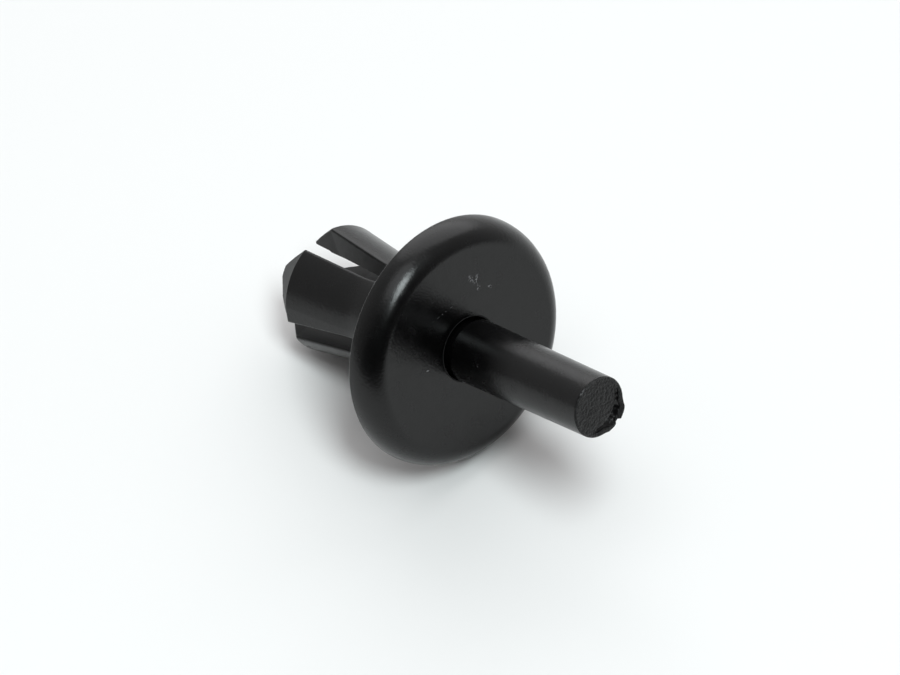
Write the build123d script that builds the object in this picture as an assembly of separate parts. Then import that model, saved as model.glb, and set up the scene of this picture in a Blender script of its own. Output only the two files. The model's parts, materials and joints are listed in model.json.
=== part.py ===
from build123d import *
import math
import os

# A push rivet for an 8 mm panel hole, in millimetres.
# Each piece is drawn upright about Z: the head's flat face at Z = 0, the drive pin's free end above it
# and the split shank below it. The last step lays the whole rivet down the way it comes to rest.

# Head
HEAD_RADIUS = 9.0
HEAD_THICKNESS = 2.27
FACE_RADIUS = 7.37  # flat middle of the head; outside it the rim rolls down to the back edge
BACK_EDGE_CHAMFER = 0.12

# Neck, which fills the panel's hole; the slots run up into its lower part
NECK_RADIUS = 3.9
NECK_ROOT_CHAMFER = 0.25

# Split shank: four legs, parallel down to the bend, then flared out to the barb
BEND_DEPTH = 8.5
BEND_RADIUS = 8.0
BARB_DEPTH = 14.26
BARB_RADIUS = 4.62
TIP_DEPTH = 17.1
TIP_LAND = 0.21  # width of the ring that the barb's long chamfer leaves at the tips
LEG_EDGE_CHAMFER = 0.15

# The four slots between the legs, each with straight sides and rounded top corners. Once laid down, the slots
# above and below widen towards the tips. The ones at the two sides keep one width and lean down, because
# the legs haven't spread evenly.
SLOT_TOP_DEPTH = 5.0
SLOT_TOP_WIDTH = 1.2
BARB_SLOT_WIDTH = 2.38
SIDE_SLOT_WIDTH = 1.4
LEFT_SLOT_DROP = 0.45  # how much lower the slot's middle is at the barb than at its top, on the -Y side
RIGHT_SLOT_DROP = 0.19
SLOT_CORNER_ROUND = 0.5
SLOT_RIM_REACH = 1.5  # every slot's rims run nearer than this to its middle

# Bore, which widens below the bend
BORE_RADIUS = 2.34
TIP_BORE_RADIUS = 2.42
MOUTH_CHAMFER = 0.08

# Drive pin: drafted towards its free end, parallel in the bore, with a chamfered nose
# and a narrow neck where it enters the head. Its heights are above the face.
PIN_RADIUS = 2.29
PIN_END_RADIUS = 2.19
PIN_PROUD = 13.4
PIN_INSIDE = 3.6
PIN_END_CHAMFER = 0.08
PIN_NECK_RADIUS = 1.95
PIN_NECK_TOP = 0.63
PIN_NECK_BOTTOM = -0.4
PIN_NECK_RAMP = 0.15  # height of the short cone at each end of the pin's neck
NOSE_RADIUS = 1.7
NOSE_LENGTH = 0.9

CUTTER_OVERSHOOT = 1.0  # how far a cutter runs past the surface it leaves through

# The rivet lies on the back edge of its head and on the two barb corners beside the lowest slot.
BARB_CORNER_ANGLE = math.asin(BARB_SLOT_WIDTH / 2 / BARB_RADIUS) + LEG_EDGE_CHAMFER / BARB_RADIUS
BARB_CORNER_REACH = BARB_RADIUS * math.cos(BARB_CORNER_ANGLE)
BACK_EDGE_DEPTH = HEAD_THICKNESS - BACK_EDGE_CHAMFER
REST_TILT = math.degrees(math.atan2(HEAD_RADIUS - BARB_CORNER_REACH, BARB_DEPTH - BACK_EDGE_DEPTH))


def corner(face, x, y):
    """The face's corner at this point of its own plane."""
    return face.vertices().sort_by_distance((x, y, 0))[0]


def turned_body():
    """Head, neck and uncut shank, one profile turned about Z."""
    rim_width = HEAD_RADIUS - FACE_RADIUS
    rim_centre = (FACE_RADIUS, -BACK_EDGE_DEPTH)
    rim = EllipticalCenterArc(rim_centre, rim_width, BACK_EDGE_DEPTH, 0, arc_size=90)
    neck_and_bore = Polyline(
        (HEAD_RADIUS, -BACK_EDGE_DEPTH),
        (HEAD_RADIUS - BACK_EDGE_CHAMFER, -HEAD_THICKNESS),
        (NECK_RADIUS + NECK_ROOT_CHAMFER, -HEAD_THICKNESS),
        (NECK_RADIUS, -HEAD_THICKNESS - NECK_ROOT_CHAMFER),
        (NECK_RADIUS, -BEND_DEPTH),
        (BARB_RADIUS, -BARB_DEPTH),
        (TIP_BORE_RADIUS + TIP_LAND, -TIP_DEPTH),
        (TIP_BORE_RADIUS, -TIP_DEPTH),
        (BORE_RADIUS, -BEND_DEPTH),
        (BORE_RADIUS, -MOUTH_CHAMFER),
        (BORE_RADIUS + MOUTH_CHAMFER, 0),
        (FACE_RADIUS, 0),
    )
    section = make_face([*rim.edges(), *neck_and_bore.edges()])
    section = fillet(corner(section, NECK_RADIUS, -BEND_DEPTH), BEND_RADIUS)
    seam_on_a_leg = Plane.XZ.rotated((0, 0, 45))
    return revolve(seam_on_a_leg * section, Axis.Z)


def slot_cutter(top_width, barb_width, drop=0.0):
    """A flat cutter for one slot, on the +Y side. Its middle has moved by the drop along +X at the barb."""
    top_to_barb = BARB_DEPTH - SLOT_TOP_DEPTH
    end_depth = TIP_DEPTH + CUTTER_OVERSHOOT
    share = (end_depth - SLOT_TOP_DEPTH) / top_to_barb
    half_top = top_width / 2
    half_end = half_top + (barb_width - top_width) / 2 * share
    end_drop = drop * share
    section = make_face(
        Polyline(
            (half_top, -SLOT_TOP_DEPTH),
            (end_drop + half_end, -end_depth),
            (end_drop - half_end, -end_depth),
            (-half_top, -SLOT_TOP_DEPTH),
            close=True,
        )
    )
    for side in (-half_top, half_top):
        section = fillet(corner(section, side, -SLOT_TOP_DEPTH), SLOT_CORNER_ROUND)
    return extrude(Plane.XZ * section, -BARB_RADIUS - CUTTER_OVERSHOOT)


def is_slot_rim(edge):
    """Whether a slot breaks through the legs' outer surface along this edge."""
    middle = edge.position_at(0.5)
    beside_a_slot = min(abs(middle.X), abs(middle.Y)) < SLOT_RIM_REACH
    on_the_outside = math.hypot(middle.X, middle.Y) > (TIP_BORE_RADIUS + BARB_RADIUS) / 2
    return beside_a_slot and on_the_outside


def rivet_body():
    body = turned_body()
    for turn in (-90, 90):
        body -= Rotation(0, 0, turn) * slot_cutter(SLOT_TOP_WIDTH, BARB_SLOT_WIDTH)
    body -= slot_cutter(SIDE_SLOT_WIDTH, SIDE_SLOT_WIDTH, RIGHT_SLOT_DROP)
    body -= mirror(slot_cutter(SIDE_SLOT_WIDTH, SIDE_SLOT_WIDTH, LEFT_SLOT_DROP), Plane.XZ)
    return chamfer(body.edges().filter_by(is_slot_rim), LEG_EDGE_CHAMFER)


def drive_pin():
    """One profile turned about Z."""
    outline = Polyline(
        (0, PIN_PROUD),
        (PIN_END_RADIUS - PIN_END_CHAMFER, PIN_PROUD),
        (PIN_END_RADIUS, PIN_PROUD - PIN_END_CHAMFER),
        (PIN_RADIUS, PIN_NECK_TOP),
        (PIN_NECK_RADIUS, PIN_NECK_TOP - PIN_NECK_RAMP),
        (PIN_NECK_RADIUS, PIN_NECK_BOTTOM + PIN_NECK_RAMP),
        (PIN_RADIUS, PIN_NECK_BOTTOM),
        (PIN_RADIUS, NOSE_LENGTH - PIN_INSIDE),
        (NOSE_RADIUS, -PIN_INSIDE),
        (0, -PIN_INSIDE),
        close=True,
    )
    return revolve(Plane.XZ * make_face(outline), Axis.Z)


# Laid down, the axis runs along X with the pin's free end raised by REST_TILT and one slot facing down.
# The origin is under the middle of the whole rivet, on the surface it lies on.
laid_down = Rotation(0, 90 - REST_TILT, 0)
pieces = {"rivet_body": laid_down * rivet_body(), "drive_pin": laid_down * drive_pin()}
extent = Compound(list(pieces.values())).bounding_box()
to_origin = Location((-extent.center().X, -extent.center().Y, -extent.min.Z))

os.makedirs("parts", exist_ok=True)
for name, piece in pieces.items():
    export_step(to_origin * piece, f"parts/{name}.step")

face_centre = (to_origin * laid_down).position
print(f"rest tilt {REST_TILT:.3f} degrees, face centre {face_centre}, size {extent.size}")
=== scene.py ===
import json
import math

import bpy
from mathutils import Euler, Matrix, Vector, noise


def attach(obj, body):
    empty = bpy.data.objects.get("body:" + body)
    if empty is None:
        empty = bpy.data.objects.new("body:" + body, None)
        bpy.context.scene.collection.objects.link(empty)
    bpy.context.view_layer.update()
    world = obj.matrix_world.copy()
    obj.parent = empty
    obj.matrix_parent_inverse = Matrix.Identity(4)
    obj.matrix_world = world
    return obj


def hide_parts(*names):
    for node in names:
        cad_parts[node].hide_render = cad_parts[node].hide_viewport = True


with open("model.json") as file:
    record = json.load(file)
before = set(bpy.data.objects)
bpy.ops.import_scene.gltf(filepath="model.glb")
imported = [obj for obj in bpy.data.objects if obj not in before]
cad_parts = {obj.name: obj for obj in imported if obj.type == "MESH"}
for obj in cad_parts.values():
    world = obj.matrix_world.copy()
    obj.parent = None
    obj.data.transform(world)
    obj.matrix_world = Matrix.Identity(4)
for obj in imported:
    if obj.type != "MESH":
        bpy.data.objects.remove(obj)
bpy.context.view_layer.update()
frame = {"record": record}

# Table: the matt white board that the rivet lies on. It is far wider than the rivet, so every view ends on
# it. It isn't part of the object.
TABLE_WIDTH = 6.0
TABLE_COLOUR = (0.82, 0.81, 0.805, 1)

bpy.ops.object.select_all(action="DESELECT")
bpy.ops.mesh.primitive_plane_add(size=TABLE_WIDTH, location=(0, 0, 0))
table = bpy.context.object
table.name = "table"
white_board = bpy.data.materials.new("white_board")
white_board.use_nodes = True
board = white_board.node_tree.nodes["Principled BSDF"]
board.inputs["Base Color"].default_value = TABLE_COLOUR
board.inputs["Specular IOR Level"].default_value = 0
board.inputs["Roughness"].default_value = 1
table.data.materials.append(white_board)

# Daylight: a dim room, dark where the camera stands and palest across from it, under a pale ceiling. It has
# a tall bright lamp almost overhead and one broad window at the back left.
DARK_SIDE = Vector((0.73, -0.66, 0.17)).normalized()
ROOM_STRENGTHS = (  # from straight across from the dark side, -1, to the dark side itself, 1
    (-1, 1.1),
    (-0.8, 0.85),
    (-0.46, 0.62),
    (-0.2, 0.54),
    (0.1, 0.43),
    (0.4, 0.28),
    (0.7, 0.07),
    (0.95, 0.02),
)


def place_lamp(name, towards, distance, width, height, radiance, colour):
    """A flat oval panel that faces the rivet from this direction. Radiance 1 looks white."""
    bpy.ops.object.light_add(type="AREA", location=Vector(towards).normalized() * distance)
    lamp = bpy.context.object
    lamp.name = name
    lamp.rotation_euler = Vector(towards).to_track_quat("Z", "Y").to_euler()
    lamp.data.shape = "ELLIPSE"
    lamp.data.size = width
    lamp.data.size_y = height
    lamp.data.color = colour
    lamp.data.energy = radiance * math.pi * math.pi * width * height / 4


def add_node(tree, kind, output, inputs, **settings):
    """Adds a shader node and gives this output of it. An input is a plain value or another node's output."""
    node = tree.nodes.new("ShaderNode" + kind)
    for name, value in settings.items():
        setattr(node, name, value)
    for name, value in inputs.items():
        if isinstance(value, bpy.types.NodeSocket):
            tree.links.new(value, node.inputs[name])
        else:
            node.inputs[name].default_value = value
    return node.outputs[output]


place_lamp("overhead_lamp", (0.36, -0.12, 0.925), 0.5, 0.14, 0.24, 17, (0.9, 0.99, 1))
place_lamp("window", (-0.48, 0.62, 0.62), 0.8, 1.1, 0.84, 1.3, (0.98, 0.985, 1))
place_lamp("ceiling", (-0.08, -0.15, 0.98), 0.9, 0.6, 0.6, 1.5, (0.97, 0.99, 1))

room = bpy.data.worlds.new("room")
bpy.context.scene.world = room
room.use_nodes = True
tree = room.node_tree
direction = add_node(tree, "TexCoord", "Generated", {})
towards_dark = add_node(tree, "VectorMath", "Value", {0: direction, 1: DARK_SIDE}, operation="DOT_PRODUCT")
half_and_half = add_node(tree, "Math", "Value", {0: towards_dark, 1: 0.5, 2: 0.5}, operation="MULTIPLY_ADD")
strength = add_node(tree, "ValToRGB", "Color", {"Fac": half_and_half})
strength.node.color_ramp.interpolation = "EASE"
stops = strength.node.color_ramp.elements
for dot, value in ROOM_STRENGTHS:
    stops.new((dot + 1) / 2).color = (value, value, value, 1)
stops.remove(stops[0])
stops.remove(stops[-1])
background = tree.nodes["Background"]
background.inputs["Color"].default_value = (1, 1, 1, 1)
tree.links.new(strength, background.inputs["Strength"])

# Where the rivet lies: its axis and the centre of its head's flat face, which every other place is given
# from. The neck is the plain stretch between the head's underside and the flare.
MILLIMETRE = 0.001
HEAD_THICKNESS = 2.27
NECK_ROOT = 0.25  # the round between the head's underside and the neck

neck = next(mount for mount in frame["record"]["mounts"] if mount["name"] == "neck")
axis = -Vector(neck["axis"])
neck_middle_depth = neck["dims"]["length_mm"] / 2 + NECK_ROOT + HEAD_THICKNESS
face_centre = Vector(neck["pos_m"]) + axis * neck_middle_depth * MILLIMETRE
rest_tilt = math.asin(axis.z)

# Camera: a long lens from the right and well above, level but for a slight lean.
CAMERA_AZIMUTH = math.radians(46.7)
CAMERA_ELEVATION = math.radians(52.3)
CAMERA_LEAN = math.radians(-2.31)
CAMERA_FROM_FACE = Vector((-0.00135, 0.00076, 0.540))  # right, up and back from the face's centre
CAMERA_LENS = 313.99
CAMERA_SENSOR = 36

turned = Euler((math.pi / 2 - CAMERA_ELEVATION, 0, CAMERA_AZIMUTH)).to_matrix()
turned = turned @ Matrix.Rotation(CAMERA_LEAN, 3, "Z")
bpy.ops.object.camera_add(location=face_centre + turned @ CAMERA_FROM_FACE, rotation=turned.to_euler())
camera = bpy.context.object
camera.data.sensor_width = CAMERA_SENSOR
camera.data.lens = CAMERA_LENS
camera.data.clip_end = 20
bpy.context.scene.camera = camera
bpy.context.scene.view_settings.view_transform = "Standard"

# Body: one black moulding. A flat round head with a rolled rim, a plain neck, and a hollow shank that four
# slots split into legs. It is drawn upright in millimetres, the face at height 0 and the legs below, then
# laid down. Depths are below the face.
COLUMNS = 128  # round the whole body
FACE_RADIUS = 7.37
HEAD_RADIUS = 8.99  # just under 9, so that the back edge's round lies on the table and not in it
RIM_DEPTH = 2.15
RIM_RINGS = 14
BACK_EDGE_ROUND = 0.12
NECK_RADIUS = 3.9
NECK_RING_DEPTHS = (3.2, 4.4, 5.8, 6.7, 7.6, 8.02)
BEND = 8.5
BEND_RINGS = ((3.905, 8.26), (3.918, 8.5), (3.94, 8.75), (3.962, 9.0))  # radius and depth
BARB = 14.26
BARB_RADIUS = 4.62
FLARE_RINGS = 7
TIP = 17.1
TIP_RADIUS = 2.63
TIP_RINGS = 4
BORE_RADIUS = 2.34
TIP_BORE_RADIUS = 2.42
SPREAD_BORE_RINGS = 12  # where the bore widens with the legs
BORE_RING_DEPTHS = (7.6, 6.7, 5.8, 4.4, 3.2, 1.5, 0)
MOUTH_ROUND = 0.02
ROUND_STEPS = 4
MEETING = 0.0005  # rings nearer than this are one ring
TOUCHING = 0.001  # points nearer than this are in one place


def across(point):
    """How far the point is from the upright axis."""
    return math.hypot(point.x, point.y)


def between(start, end, share):
    """The value this share of the way from start to end."""
    return start + (end - start) * share


def pick_edges(piece, wanted):
    """Opens the piece in edit mode with just the edges chosen whose two ends pass the test."""
    bpy.ops.object.mode_set(mode="OBJECT")
    bpy.context.tool_settings.mesh_select_mode = (False, True, False)
    for group in (piece.data.vertices, piece.data.edges, piece.data.polygons):
        group.foreach_set("select", [False] * len(group))
    for edge in piece.data.edges:
        start, end = (piece.data.vertices[index].co for index in edge.vertices)
        edge.select = wanted(start, end)
    bpy.ops.object.mode_set(mode="EDIT")


def start_ring(name, columns, radius, height):
    """A new open ring about the upright axis, chosen in edit mode."""
    bpy.ops.object.select_all(action="DESELECT")
    bpy.ops.mesh.primitive_circle_add(vertices=columns, radius=radius, location=(0, 0, height))
    piece = bpy.context.object
    piece.name = name
    bpy.ops.object.transform_apply()
    bpy.ops.object.mode_set(mode="EDIT")
    return piece


def next_ring(radius, height):
    """Extrudes the chosen ring to this radius and height."""
    piece = bpy.context.edit_object
    piece.update_from_editmode()
    ring = next(vertex.co for vertex in piece.data.vertices if vertex.select)
    growth = radius / across(ring)
    bpy.ops.mesh.extrude_region_move(TRANSFORM_OT_translate={"value": (0, 0, height - ring.z)})
    bpy.ops.transform.resize(value=(growth, growth, 1), center_override=(0, 0, height))


def straight_on(start, end, rings):
    """Extrudes the chosen ring from one radius and height straight to another, in this many equal steps."""
    for ring in range(1, rings + 1):
        next_ring(between(start[0], end[0], ring / rings), between(start[1], end[1], ring / rings))


def join_rings():
    """Merges the rings that meet and turns every face outwards."""
    bpy.ops.mesh.select_all(action="SELECT")
    bpy.ops.mesh.remove_doubles(threshold=MEETING)
    bpy.ops.mesh.normals_make_consistent(inside=False)


def round_ring(piece, radius, height, size, steps):
    """Rounds the edge on this ring in so many steps. One step is a plain chamfer."""

    def on_ring(point):
        return abs(point.z - height) < TOUCHING and abs(across(point) - radius) < TOUCHING

    pick_edges(piece, lambda start, end: on_ring(start) and on_ring(end))
    bpy.ops.mesh.bevel(offset=size, segments=steps, affect="EDGES")


body = start_ring("rivet_moulding", COLUMNS, BORE_RADIUS, 0)
next_ring(FACE_RADIUS, 0)
for ring in range(1, RIM_RINGS + 1):
    turn = math.pi / 2 * ring / RIM_RINGS
    next_ring(between(FACE_RADIUS, HEAD_RADIUS, math.sin(turn)), -RIM_DEPTH * (1 - math.cos(turn)))
next_ring(HEAD_RADIUS, -HEAD_THICKNESS)
next_ring(NECK_RADIUS, -HEAD_THICKNESS)
for depth in NECK_RING_DEPTHS:
    next_ring(NECK_RADIUS, -depth)
for bend_radius, bend_depth in BEND_RINGS:
    next_ring(bend_radius, -bend_depth)
straight_on((bend_radius, -bend_depth), (BARB_RADIUS, -BARB), FLARE_RINGS)
straight_on((BARB_RADIUS, -BARB), (TIP_RADIUS, -TIP), TIP_RINGS)
next_ring(TIP_BORE_RADIUS, -TIP)
straight_on((TIP_BORE_RADIUS, -TIP), (BORE_RADIUS, -BEND), SPREAD_BORE_RINGS)
for depth in BORE_RING_DEPTHS:
    next_ring(BORE_RADIUS, -depth)
join_rings()
round_ring(body, HEAD_RADIUS, -HEAD_THICKNESS, BACK_EDGE_ROUND, ROUND_STEPS)
round_ring(body, NECK_RADIUS, -HEAD_THICKNESS, NECK_ROOT, ROUND_STEPS)
round_ring(body, BORE_RADIUS, 0, MOUTH_ROUND, ROUND_STEPS)
bpy.ops.object.mode_set(mode="OBJECT")

# Once the body is laid down, the slots above and below widen towards the tips. The two at its sides keep one
# width and lean down, because the legs haven't spread evenly.
SLOT_TOP = 5.0
SLOT_TOP_HALF = 0.6
SLOT_BARB_HALF = 1.19
SIDE_SLOT_HALF = 0.7
LEFT_SLOT_DROP = 0.45  # how much lower the slot's middle is at the barb than at its top
RIGHT_SLOT_DROP = 0.19
SLOT_CORNER = 0.5
SLOT_CORNER_STEPS = 8
BLADE_LENGTH = BARB_RADIUS + 1  # each slot is cut by a blade that runs outwards from the axis
BLADE_END = TIP + 1
QUARTER = math.pi / 2


def past_slot_top(depth):
    """How far down the slots this depth is: 0 at their tops and 1 at the barb."""
    return (depth - SLOT_TOP) / (BARB - SLOT_TOP)


# The mesh's columns are first slid clear of the slots, so that only rings cross the slots' edges. A few
# gather in the middle of each slot, and the rest are shared out evenly over the legs.
SLID_FROM = 4.0
SLOT_COLUMNS = 3  # from a slot's middle to its side
SLOT_COLUMN_GAP = 0.1
LEG_CLEARANCE = 0.25
LEG_MIDDLE_COLUMN = COLUMNS // 8

for vertex in body.data.vertices:
    if vertex.co.z > -SLID_FROM:
        continue
    radius = across(vertex.co)
    turn = math.atan2(vertex.co.y, vertex.co.x) % (2 * math.pi)
    slot_turn = round(turn / QUARTER) * QUARTER
    column = round((turn - slot_turn) / (2 * math.pi / COLUMNS))
    side = 1 if column > 0 else -1
    if abs(column) < SLOT_COLUMNS:
        new_turn = slot_turn + side * math.asin(SLOT_COLUMN_GAP * abs(column) / radius)
    else:
        half_slot = between(SLOT_TOP_HALF, SLOT_BARB_HALF, past_slot_top(max(-vertex.co.z, SLOT_TOP)))
        clear = math.asin(half_slot / radius) + LEG_CLEARANCE / radius
        share = (abs(column) - SLOT_COLUMNS) / (LEG_MIDDLE_COLUMN - SLOT_COLUMNS)
        new_turn = slot_turn + side * between(clear, QUARTER / 2, share)
    vertex.co.x = radius * math.cos(new_turn)
    vertex.co.y = radius * math.sin(new_turn)

for turn, top_half, barb_half, drop in (
    (-QUARTER, SLOT_TOP_HALF, SLOT_BARB_HALF, 0),
    (QUARTER, SLOT_TOP_HALF, SLOT_BARB_HALF, 0),
    (0, SIDE_SLOT_HALF, SIDE_SLOT_HALF, RIGHT_SLOT_DROP),
    (math.pi, SIDE_SLOT_HALF, SIDE_SLOT_HALF, -LEFT_SLOT_DROP),
):
    bpy.ops.object.select_all(action="DESELECT")
    bpy.ops.mesh.primitive_cube_add(size=2, location=(0, 1, 0))
    blade = bpy.context.object
    bpy.ops.object.transform_apply()
    pick_edges(blade, lambda start, end: start.z > 0 and end.z > 0)
    bpy.ops.transform.resize(value=(top_half, BLADE_LENGTH / 2, 1), center_override=(0, 0, 1))
    bpy.ops.transform.translate(value=(0, 0, -SLOT_TOP - 1))
    pick_edges(blade, lambda start, end: start.z == -1 and end.z == -1)
    end_half = between(top_half, barb_half, past_slot_top(BLADE_END))
    bpy.ops.transform.resize(value=(end_half, BLADE_LENGTH / 2, 1), center_override=(0, 0, -1))
    bpy.ops.transform.translate(value=(drop * past_slot_top(BLADE_END), 0, 1 - BLADE_END))
    pick_edges(blade, lambda start, end: min(start.z, end.z) > -SLOT_TOP - 0.1 and abs(start.y - end.y) > 1)
    bpy.ops.mesh.bevel(offset=SLOT_CORNER, segments=SLOT_CORNER_STEPS, affect="EDGES")
    bpy.ops.object.mode_set(mode="OBJECT")
    blade.rotation_euler.z = turn
    bpy.ops.object.select_all(action="DESELECT")
    body.select_set(True)
    bpy.context.view_layer.objects.active = body
    slots = body.modifiers.new("slots", "BOOLEAN")
    slots.object = blade
    slots.solver = "EXACT"
    bpy.ops.object.modifier_apply(modifier=slots.name)
    bpy.data.objects.remove(blade)

# Every edge that the slots left sharp is rounded: the legs' outer edges most, the barb's less, and the tips'
# and the bore's least. Where rounds meet, some points lie almost on each other, and these are merged.
LEG_EDGE_ROUND = 0.16
BARB_SHARE = 0.4
TIP_SHARE = 0.3
BORE_SHARE = 0.25

body.data.attributes.new("bevel_weight_edge", "FLOAT", "EDGE")


def round_sharp_edges(piece, share, wanted):
    """Marks the sharp edges whose middle passes the test to be rounded by this share of the full size."""
    bpy.ops.object.mode_set(mode="EDIT")
    bpy.ops.mesh.select_mode(type="EDGE")
    bpy.ops.mesh.select_all(action="DESELECT")
    bpy.ops.mesh.edges_select_sharp(sharpness=math.radians(30))
    bpy.ops.object.mode_set(mode="OBJECT")
    points = piece.data.vertices
    for edge in piece.data.edges:
        if edge.select and wanted((points[edge.vertices[0]].co + points[edge.vertices[1]].co) / 2):
            piece.data.attributes["bevel_weight_edge"].data[edge.index].value = share


def on_a_leg(point):
    """Whether the point is no higher than the slots' tops."""
    return point.z < -SLOT_TOP + 0.1


def outside(point):
    """Whether the point is in the outer half of the legs' wall."""
    if -point.z < BARB:
        return across(point) > (NECK_RADIUS + BORE_RADIUS) / 2
    outer_radius = between(BARB_RADIUS, TIP_RADIUS, (-point.z - BARB) / (TIP - BARB))
    return across(point) > (outer_radius + TIP_BORE_RADIUS) / 2


round_sharp_edges(body, 1, lambda middle: on_a_leg(middle) and outside(middle))
round_sharp_edges(body, BORE_SHARE, lambda middle: on_a_leg(middle) and not outside(middle))
round_sharp_edges(body, BARB_SHARE, lambda middle: abs(middle.z + BARB) < 0.02 and outside(middle))
round_sharp_edges(body, TIP_SHARE, lambda middle: abs(middle.z + TIP) < TOUCHING)
rounds = body.modifiers.new("rounds", "BEVEL")
rounds.limit_method = "WEIGHT"
rounds.width = LEG_EDGE_ROUND
rounds.segments = ROUND_STEPS
rounds.use_clamp_overlap = False
bpy.context.view_layer.objects.active = body
bpy.ops.object.modifier_apply(modifier=rounds.name)
bpy.ops.object.mode_set(mode="EDIT")
bpy.ops.mesh.select_all(action="SELECT")
bpy.ops.mesh.remove_doubles(threshold=TOUCHING)
bpy.ops.object.mode_set(mode="OBJECT")

lie_down = Matrix.LocRotScale(
    face_centre, Euler((0, math.pi / 2 - rest_tilt, 0)), Vector((MILLIMETRE, MILLIMETRE, MILLIMETRE))
)


def lay_down(piece):
    """Shades the finished piece as moulded plastic and lays it in its place, in metres."""
    bpy.ops.object.select_all(action="DESELECT")
    piece.select_set(True)
    bpy.context.view_layer.objects.active = piece
    bpy.ops.object.shade_smooth_by_angle(angle=math.radians(35))
    faces = piece.modifiers.new("even_faces", "WEIGHTED_NORMAL")
    faces.keep_sharp = True
    bpy.ops.object.modifier_apply(modifier=faces.name)
    piece.matrix_world = lie_down
    bpy.ops.object.transform_apply(location=True, rotation=True, scale=True)


lay_down(body)

# Black satin plastic, moulded in a lightly etched tool: nearly all of its light is its sheen. Handling has
# left small scuffs on the head's face and the pin's side, paler and rougher than the skin around them. At
# the pin's torn end the same pale paint makes painted highlights, for the lamp's glints on the end's chamfer
# and on the lip's inner wall.
BLACK = (0.0015, 0.0015, 0.0016, 1)
# Pale paint for the scuffs, also used for the painted highlights at the pin's torn end.
SCUFF_AND_GLINT_PAINT = (0.16, 0.16, 0.165, 1)
SCUFF_AND_GLINT_DULLNESS = 0.5
SMOOTHEST = 0.2
ROUGHEST = 0.29
MARK_HALF_DEPTH = 0.1
MARK_CORE = 0.3  # the share of its size inside which a mark is at full strength
FLECK_EDGE = 0.05


def fade(tree, value, start, end, low=0, high=1):
    """An output that goes from low to high as the value goes from start to end."""
    inputs = {"Value": value, "From Min": start, "From Max": end, "To Min": low, "To Max": high}
    return add_node(tree, "MapRange", "Result", inputs)


def dull(tree, where, roughness):
    """Makes the plastic this rough where the output is 1, and leaves it as it is where the output is 0."""
    sheen = tree.nodes["Principled BSDF"].inputs["Roughness"]
    inputs = {"Factor": where, "A": sheen.links[0].from_socket, "B": roughness}
    tree.links.new(add_node(tree, "Mix", "Result", inputs), sheen)


def satin_plastic(name, marks):
    """Black plastic with a fine grain, an uneven sheen, scuffs and painted highlights.

    A mark is its upright x, y and z, its length and width in millimetres, its turn in degrees and how broken
    up it is.
    """
    plastic = bpy.data.materials.new(name)
    plastic.use_nodes = True
    tree = plastic.node_tree
    shader = tree.nodes["Principled BSDF"]
    shader.inputs["Base Color"].default_value = BLACK
    shader.inputs["IOR"].default_value = 1.45
    shader.inputs["Specular IOR Level"].default_value = 0.41
    place = add_node(tree, "TexCoord", "Object", {})
    grain = add_node(tree, "TexNoise", "Fac", {"Vector": place, "Scale": 5500, "Detail": 3})
    bump = add_node(tree, "Bump", "Normal", {"Height": grain, "Strength": 1, "Distance": 0.00001})
    patches = add_node(tree, "TexNoise", "Fac", {"Vector": place, "Scale": 900, "Detail": 5})
    tree.links.new(bump, shader.inputs["Normal"])
    tree.links.new(fade(tree, patches, 0.3, 0.7, SMOOTHEST, ROUGHEST), shader.inputs["Roughness"])

    speckle = add_node(tree, "TexNoise", "Fac", {"Vector": place, "Scale": 7000, "Detail": 1})
    scuff_and_glint = 0
    for x, y, z, length, width, turn, broken in marks:
        heading = lie_down.to_3x3().normalized() @ Matrix.Rotation(math.radians(turn), 3, "Z")
        spot_box = {
            "Vector": place,
            "Location": lie_down @ Vector((x, y, z)),
            "Rotation": heading.to_euler(),
            "Scale": Vector((length / 2, width / 2, MARK_HALF_DEPTH)) * MILLIMETRE,
        }
        spot = add_node(tree, "Mapping", "Vector", spot_box, vector_type="TEXTURE")
        from_middle = add_node(tree, "VectorMath", "Value", {0: spot}, operation="LENGTH")
        inside = fade(tree, from_middle, 1, MARK_CORE)
        flecks = fade(tree, speckle, broken, broken + FLECK_EDGE)
        mark = add_node(tree, "Math", "Value", {0: inside, 1: flecks}, operation="MULTIPLY")
        scuff_and_glint = add_node(tree, "Math", "Value", {0: scuff_and_glint, 1: mark}, operation="MAXIMUM")
    # Pale where the marks lie: real scuffs, and painted highlights for the marks at the pin's end.
    colour = add_node(tree, "Mix", "Result", {"Factor": scuff_and_glint, "A": BLACK, "B": SCUFF_AND_GLINT_PAINT}, data_type="RGBA")
    tree.links.new(colour, shader.inputs["Base Color"])
    dull(tree, scuff_and_glint, SCUFF_AND_GLINT_DULLNESS)
    return plastic


body_plastic = satin_plastic(
    "black_satin_plastic",
    (
        (-4.75, 1.95, 0, 0.9, 0.5, 20, 0.54),
        (-4.4, 2.35, 0, 1.1, 0.6, -30, 0.56),
        (-3.75, 2.3, 0, 0.5, 0.45, 0, 0.52),
        (-3.2, 3.2, 0, 0.5, 0.35, 40, 0.53),
        (-0.8, -3.75, 0, 0.3, 0.15, 80, 0.4),
        (-3.9, -0.9, 0, 2.6, 0.05, 90, 0.53),
    ),
)

# Where the tool's core and blades drew out, in the bore, on the slots' walls and on the tips, the plastic is
# duller.
BORE_DULLNESS = 0.75
WALL_DULLNESS = 0.52
TIP_DULLNESS = 0.6

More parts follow.
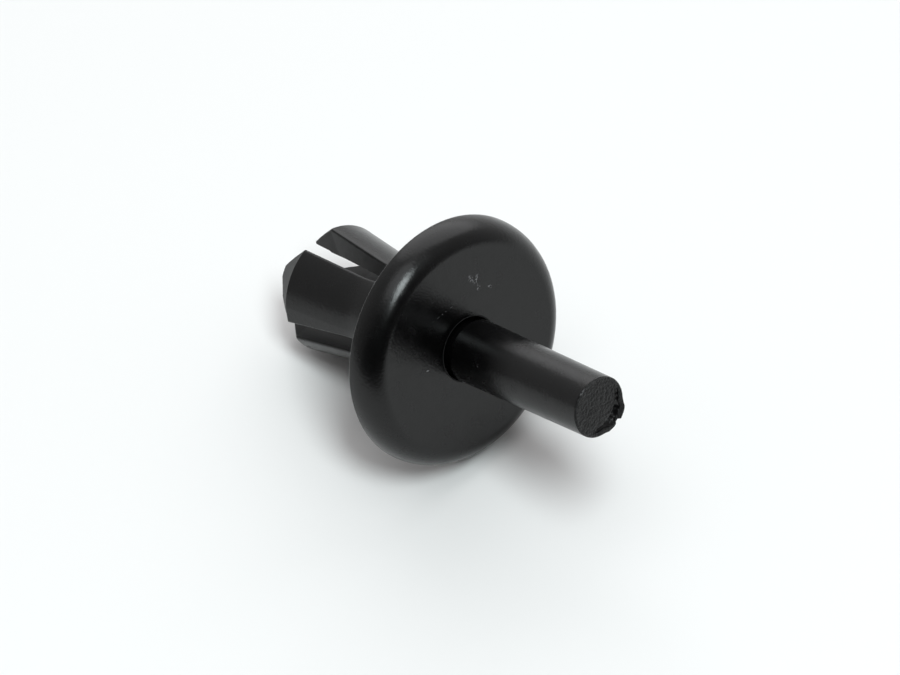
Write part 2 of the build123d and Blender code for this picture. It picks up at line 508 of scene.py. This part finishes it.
tree = body_plastic.node_tree
place = add_node(tree, "TexCoord", "Object", {})
facing = add_node(tree, "TexCoord", "Normal", {})
from_face = add_node(tree, "VectorMath", "Vector", {0: place, 1: face_centre}, operation="SUBTRACT")
off_axis = add_node(tree, "VectorMath", "Vector", {0: from_face, 1: axis}, operation="CROSS_PRODUCT")
off_axis_length = add_node(tree, "VectorMath", "Value", {0: off_axis}, operation="LENGTH")
round_the_axis = add_node(tree, "VectorMath", "Vector", {0: off_axis}, operation="NORMALIZE")
facing_round = add_node(tree, "VectorMath", "Value", {0: round_the_axis, 1: facing}, operation="DOT_PRODUCT")
facing_either_way = add_node(tree, "Math", "Value", {0: facing_round}, operation="ABSOLUTE")
along = add_node(tree, "VectorMath", "Value", {0: from_face, 1: axis}, operation="DOT_PRODUCT")
in_bore = fade(
    tree, off_axis_length, (TIP_BORE_RADIUS + 0.03) * MILLIMETRE, (TIP_BORE_RADIUS + 0.01) * MILLIMETRE
)
on_wall = fade(tree, facing_either_way, 0.6, 0.9)
on_tip = fade(tree, along, -BARB * MILLIMETRE, (-BARB - 0.1) * MILLIMETRE)
dull(tree, in_bore, BORE_DULLNESS)
dull(tree, on_wall, WALL_DULLNESS)
dull(tree, on_tip, TIP_DULLNESS)
body.data.materials.append(body_plastic)
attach(body, "rivet_body")
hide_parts("rivet_body")

# Drive pin: a straight black pin, moulded with a slight draft, which a hammer or thumb drives flush with the
# head. It narrows to a neck just where it enters the head's bore. Its end was torn off its gate, which left
# a rough face and, along a quarter of its edge, a ragged lip in two stubs with a longer groove inside it.
PIN_COLUMNS = 256
PIN_END_RADIUS = 2.19
PIN_RADIUS = 2.29
PIN_TOP = 13.4
PIN_END_CHAMFER = 0.1
PIN_NECK_RADIUS = 1.95
PIN_NECK_TOP = 0.63
PIN_NECK_BOTTOM = -1.2
PIN_NECK_RAMP = 0.15
PIN_NOSE_RADIUS = 1.7
PIN_NOSE_LENGTH = 0.9
PIN_TIP = -3.6
PIN_SIDE_RINGS = (0.15, 0.3, 0.45, 0.6, 0.75, 0.9, 0.95, 0.96, 0.97, 0.98, 0.987, 1)  # closest at the tear
EDGE_TO_LIP_RINGS = 0.06
LIP_RINGS = 20  # on the end face, where the lip and the groove are
LIP_RING_GAP = 0.055
MIDDLE_RADIUS = 1.03
MIDDLE_RINGS = 10
MIDDLE_RING_GAP = 0.095

pin = start_ring("pin_moulding", PIN_COLUMNS, PIN_NOSE_RADIUS, PIN_TIP)
bpy.ops.mesh.edge_face_add()
pick_edges(pin, lambda start, end: True)
next_ring(PIN_RADIUS, PIN_TIP + PIN_NOSE_LENGTH)
next_ring(PIN_RADIUS, PIN_NECK_BOTTOM)
next_ring(PIN_NECK_RADIUS, PIN_NECK_BOTTOM + PIN_NECK_RAMP)
next_ring(PIN_NECK_RADIUS, PIN_NECK_TOP - PIN_NECK_RAMP)
next_ring(PIN_RADIUS, PIN_NECK_TOP)
for share in PIN_SIDE_RINGS:
    next_ring(between(PIN_RADIUS, PIN_END_RADIUS, share), between(PIN_NECK_TOP, PIN_TOP, share))
for ring in range(1, LIP_RINGS + 1):
    next_ring(PIN_END_RADIUS - EDGE_TO_LIP_RINGS - LIP_RING_GAP * ring, PIN_TOP)
for ring in range(1, MIDDLE_RINGS + 1):
    next_ring(MIDDLE_RADIUS - MIDDLE_RING_GAP * ring, PIN_TOP)
bpy.ops.mesh.edge_face_add()
join_rings()
round_ring(pin, PIN_END_RADIUS, PIN_TOP, PIN_END_CHAMFER, 1)
bpy.ops.object.mode_set(mode="OBJECT")

# The tear: the lip's stubs swell the edge and lean inwards, and the groove runs inside them. Angles are in
# degrees round the pin.
TEAR_TURN = 28  # from the pin's lowest side to the notch between the stubs
TEAR_DEPTH = 0.5  # how far down the pin's side the lip swells
TEAR_FADE = 0.3  # how far each shape of the tear takes to fade out
RAGGED_FINENESS = 4
STUBS = (  # side of the notch, from it to the stub's near and far end, and how far outwards and forwards
    (1, 2, 46, 0.26, 0.07),
    (-1, 3, 37, 0.24, -0.07),
)
STUB_NEAR_SLOPE = 4  # degrees over which the stub rises beside the notch
STUB_FAR_SLOPE = 26
STUB_RAGGEDNESS = 0.15
NOTCH_HALF = 6
NOTCH_DEPTH = 0.2  # the lip's inner edge lies as deep
LIP_FOOT_RADIUS = 1.3
LIP_INNER_RADIUS = 1.7
LIP_WIDTH = 0.4
LIP_REACH = 2.33  # the lip still passes into the bore
GROOVE_TURN = 5
GROOVE_HALF = 78
GROOVE_RADIUS = 1.52
GROOVE_SWING = 0.36  # how much further out it runs at its ends
GROOVE_RAGGEDNESS = 0.03
GROOVE_DEPTH = 0.19
GROOVE_SPREAD = 0.17
GROOVE_END_SHARE = 0.3
TORN_RADIUS = 2.05  # inside it the end face is uneven
TORN_FINENESS = 2
TORN_DEPTH = 0.04


def kept_in(share):
    """The share, kept from 0 to 1."""
    return min(max(share, 0), 1)


def eased(share):
    """A smooth step from 0 to 1."""
    share = kept_in(share)
    return share * share * (3 - 2 * share)


for vertex in pin.data.vertices:
    depth = PIN_TOP - vertex.co.z
    if depth > TEAR_DEPTH:
        continue
    radius = across(vertex.co)
    turn = math.degrees(math.atan2(vertex.co.y, vertex.co.x)) - TEAR_TURN
    turn = (turn + 180) % 360 - 180
    ragged = noise.noise(vertex.co * RAGGED_FINENESS)
    over_lip = (radius - LIP_INNER_RADIUS) / LIP_WIDTH
    outwards = 0
    forwards = -NOTCH_DEPTH * eased(1 - abs(turn) / NOTCH_HALF)
    for side, near, far, out, ahead in STUBS:
        share = eased((side * turn - near) / STUB_NEAR_SLOPE) * eased((far - side * turn) / STUB_FAR_SLOPE)
        share *= 1 + STUB_RAGGEDNESS * ragged
        outwards += share * out * eased(over_lip) * eased((TEAR_DEPTH - depth) / TEAR_FADE)
        forwards += share * between(-NOTCH_DEPTH, ahead, kept_in(over_lip))
    along_groove = (turn - GROOVE_TURN) / GROOVE_HALF
    groove_radius = GROOVE_RADIUS + GROOVE_SWING * along_groove * along_groove + GROOVE_RAGGEDNESS * ragged
    in_groove = eased((1 - abs(along_groove)) / GROOVE_END_SHARE)
    in_groove *= math.exp(-(((radius - groove_radius) / GROOVE_SPREAD) ** 2))
    growth = min(radius + outwards, LIP_REACH) / radius
    vertex.co.x *= growth
    vertex.co.y *= growth
    if depth < PIN_END_CHAMFER / 2:
        vertex.co.z += forwards * eased((radius - LIP_FOOT_RADIUS) / TEAR_FADE) - GROOVE_DEPTH * in_groove
        uneven = abs(noise.noise(vertex.co * TORN_FINENESS))
        vertex.co.z -= TORN_DEPTH * uneven * eased((TORN_RADIUS - radius) / TEAR_FADE)
lay_down(pin)

# The torn end is granular and much rougher than the moulded skin.
TORN_DULLNESS = 0.42

pin_plastic = satin_plastic(
    "black_satin_pin_plastic",
    (
        # Painted highlights: these two pale marks stand for the lamp's glint on the end's chamfer and on the
        # lip's inner wall by the notch, on top of the sheen's own glints there.
        (-2.0, -0.9, 13.36, 0.9, 0.2, -68, 0.42),
        (1.66, 0.68, 13.27, 0.75, 0.22, 112, 0.36),
        (1.3, -1.9, 9.0, 0.35, 0.3, 0, 0.5),
        (-1.2, -1.9, 3.4, 0.3, 0.2, 0, 0.5),
    ),
)
tree = pin_plastic.node_tree
skin = tree.nodes["Principled BSDF"].inputs["Normal"]
place = add_node(tree, "TexCoord", "Object", {})
along = add_node(tree, "VectorMath", "Value", {0: place, 1: axis}, operation="DOT_PRODUCT")
face_along = axis.dot(face_centre)
torn = fade(
    tree, along, face_along + (PIN_TOP - 0.12) * MILLIMETRE, face_along + (PIN_TOP - 0.08) * MILLIMETRE
)
grains = add_node(tree, "TexNoise", "Fac", {"Vector": place, "Scale": 5000, "Detail": 2})
torn_grains = add_node(tree, "Math", "Value", {0: grains, 1: torn}, operation="MULTIPLY")
torn_bump = {"Height": torn_grains, "Normal": skin.links[0].from_socket, "Strength": 1, "Distance": 0.0002}
tree.links.new(add_node(tree, "Bump", "Normal", torn_bump), skin)
dull(tree, torn, TORN_DULLNESS)
pin.data.materials.append(pin_plastic)
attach(pin, "drive_pin")
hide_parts("drive_pin")
